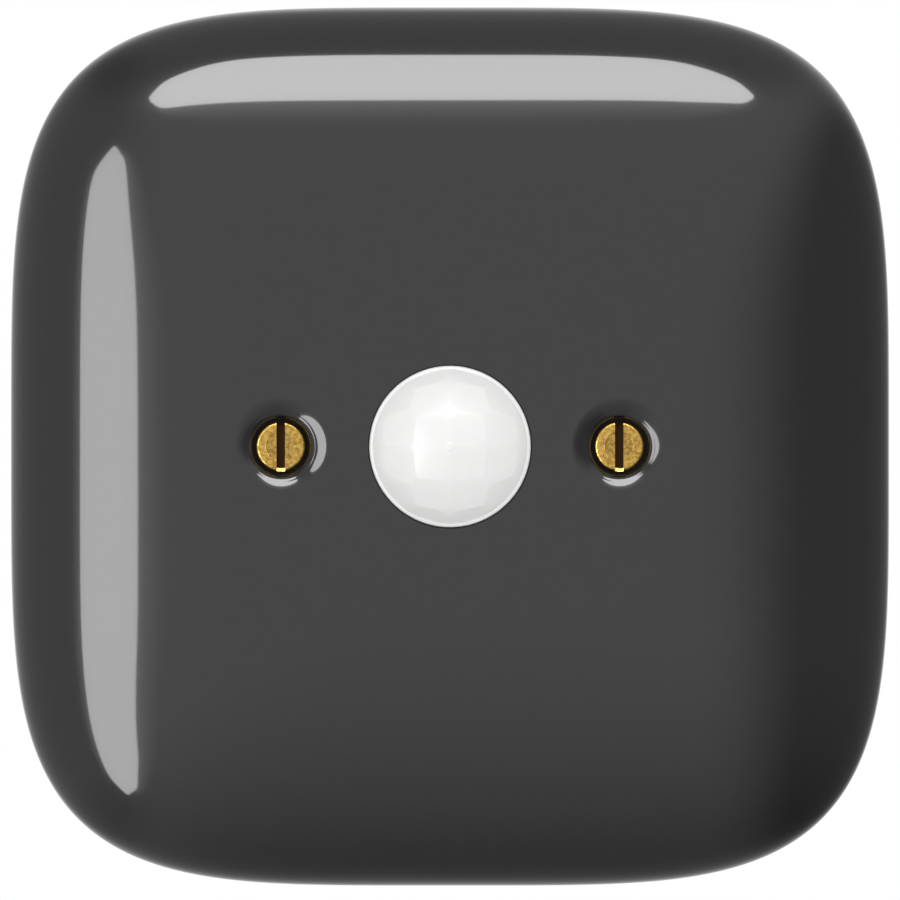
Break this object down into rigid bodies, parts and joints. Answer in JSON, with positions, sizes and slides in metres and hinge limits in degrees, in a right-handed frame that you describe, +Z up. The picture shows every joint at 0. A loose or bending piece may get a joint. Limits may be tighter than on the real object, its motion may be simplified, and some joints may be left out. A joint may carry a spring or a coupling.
{
  "type": "motion sensor light switch",
  "caption": "Flush-mounted motion sensor light switch: pillow-shaped ceramic cover, domed infrared lens, sensor unit on a steel strap, rising-cage terminals and spreading claws.",
  "frame": {"origin": "on the wall plane, midway between the two box screw slots, behind the middle of the cover", "axes": "the front faces -Y, +Z is up and +X is to the right as seen from the room; +Y runs into the wall"},
  "size_m": [0.088, 0.0441, 0.088],
  "materials": {
    "glaze": "satin charcoal glaze",
    "brass": "turned",
    "nylon": "natural",
    "lens_plastic": "translucent white",
    "carrier_plastic": "light grey moulding",
    "housing_plastic": "grey moulding",
    "block_plastic": "mid grey moulding",
    "board_laminate": "green laminate",
    "chip_plastic": "black moulding",
    "trimmer_plastic": "blue moulding",
    "dial_plastic": "ivory moulding",
    "relay_plastic": "black case",
    "capacitor_plastic": "yellow box",
    "capacitor_can": "dark sleeve",
    "varistor_coat": "blue coating",
    "fuse_ceramic": "bare ceramic",
    "clear_plastic": "clear moulding",
    "filter_glass": "dark filter",
    "plated_steel": "zinc plated"
  },
  "bodies": {
    "switch_body": {"cover_plate": "glaze", "cover_screw_left": "brass", "cover_screw_right": "brass", "cover_screw_washers": "nylon", "lens_dome": "lens_plastic", "front_carrier": "carrier_plastic", "threaded_inserts": "brass", "sensor_board": "board_laminate", "sensor_board_chips": "chip_plastic", "sensor_tube": "chip_plastic", "sensor_stand": "nylon", "pir_sensor": "plated_steel", "pir_window": "filter_glass", "pir_leads": "plated_steel", "light_sensor": "clear_plastic", "trimmer_bodies": "trimmer_plastic", "mounting_strap": "plated_steel", "rear_housing": "housing_plastic", "power_board": "board_laminate", "relay": "relay_plastic", "mains_capacitor": "capacitor_plastic", "smoothing_capacitor": "capacitor_can", "varistor": "varistor_coat", "rectifier": "chip_plastic", "fuse": "fuse_ceramic", "board_link_header": "chip_plastic", "board_link_pins": "brass", "terminal_block": "block_plastic", "contact_bars": "brass", "claw_pins": "plated_steel"},
    "time_dial": {"time_dial": "dial_plastic"},
    "light_level_dial": {"light_level_dial": "dial_plastic"},
    "terminal_screw_live": {"terminal_screw_live": "plated_steel"},
    "terminal_cage_live": {"terminal_cage_live": "brass"},
    "terminal_screw_neutral": {"terminal_screw_neutral": "plated_steel"},
    "terminal_cage_neutral": {"terminal_cage_neutral": "brass"},
    "terminal_screw_load": {"terminal_screw_load": "plated_steel"},
    "terminal_cage_load": {"terminal_cage_load": "brass"},
    "claw_screw_left": {"claw_screw_left": "plated_steel"},
    "claw_nut_left": {"claw_nut_left": "brass"},
    "claw_left": {"claw_left": "plated_steel"},
    "claw_screw_right": {"claw_screw_right": "plated_steel"},
    "claw_nut_right": {"claw_nut_right": "brass"},
    "claw_right": {"claw_right": "plated_steel"}
  },
  "joints": [
    {"name": "time_dial_turn", "type": "hinge", "parent": "switch_body", "child": "time_dial", "pos_m": [-0.00749, -0.0057, 0.01247], "axis": [0, -1, 0], "range_deg": [-130, 130]},
    {"name": "light_level_dial_turn", "type": "hinge", "parent": "switch_body", "child": "light_level_dial", "pos_m": [0.00749, -0.0057, 0.01247], "axis": [0, -1, 0], "range_deg": [-130, 130]},
    {"name": "terminal_screw_live_turn", "type": "hinge", "parent": "switch_body", "child": "terminal_screw_live", "pos_m": [-0.0085, 0.0227, -0.017], "axis": [0, -1, 0], "range_deg": [0, 1584]},
    {"name": "terminal_cage_live_slide", "type": "slide", "parent": "switch_body", "child": "terminal_cage_live", "axis": [0, 1, 0], "range_m": [0, 0.0022]},
    {"name": "terminal_screw_neutral_turn", "type": "hinge", "parent": "switch_body", "child": "terminal_screw_neutral", "pos_m": [0, 0.0227, -0.017], "axis": [0, -1, 0], "range_deg": [0, 1584]},
    {"name": "terminal_cage_neutral_slide", "type": "slide", "parent": "switch_body", "child": "terminal_cage_neutral", "axis": [0, 1, 0], "range_m": [0, 0.0022]},
    {"name": "terminal_screw_load_turn", "type": "hinge", "parent": "switch_body", "child": "terminal_screw_load", "pos_m": [0.0085, 0.0227, -0.017], "axis": [0, -1, 0], "range_deg": [0, 1584]},
    {"name": "terminal_cage_load_slide", "type": "slide", "parent": "switch_body", "child": "terminal_cage_load", "axis": [0, 1, 0], "range_m": [0, 0.0022]},
    {"name": "claw_screw_left_turn", "type": "hinge", "parent": "switch_body", "child": "claw_screw_left", "pos_m": [-0.0258, 0.004, 0], "axis": [0, 1, 0], "range_deg": [0, 864]},
    {"name": "claw_nut_left_slide", "type": "slide", "parent": "switch_body", "child": "claw_nut_left", "axis": [0, -1, 0], "range_m": [0, 0.0012]},
    {"name": "claw_left_spread", "type": "hinge", "parent": "switch_body", "child": "claw_left", "pos_m": [-0.0226, 0.0047, 0], "axis": [0, 0, 1], "range_deg": [0, 25]},
    {"name": "claw_screw_right_turn", "type": "hinge", "parent": "switch_body", "child": "claw_screw_right", "pos_m": [0.0258, 0.004, 0], "axis": [0, 1, 0], "range_deg": [0, 864]},
    {"name": "claw_nut_right_slide", "type": "slide", "parent": "switch_body", "child": "claw_nut_right", "axis": [0, -1, 0], "range_m": [0, 0.0012]},
    {"name": "claw_right_spread", "type": "hinge", "parent": "switch_body", "child": "claw_right", "pos_m": [0.0226, 0.0047, 0], "axis": [0, 0, -1], "range_deg": [0, 25]}
  ],
  "couplings": [
    {"joint": "terminal_screw_live_turn", "follows": "terminal_cage_live_slide", "rad_per_m": 12566},
    {"joint": "terminal_screw_neutral_turn", "follows": "terminal_cage_neutral_slide", "rad_per_m": 12566},
    {"joint": "terminal_screw_load_turn", "follows": "terminal_cage_load_slide", "rad_per_m": 12566},
    {"joint": "claw_screw_left_turn", "follows": "claw_nut_left_slide", "rad_per_m": 12566},
    {"joint": "claw_left_spread", "follows": "claw_nut_left_slide", "rad_per_m": 363.61},
    {"joint": "claw_screw_right_turn", "follows": "claw_nut_right_slide", "rad_per_m": 12566},
    {"joint": "claw_right_spread", "follows": "claw_nut_right_slide", "rad_per_m": 363.61}
  ]
}
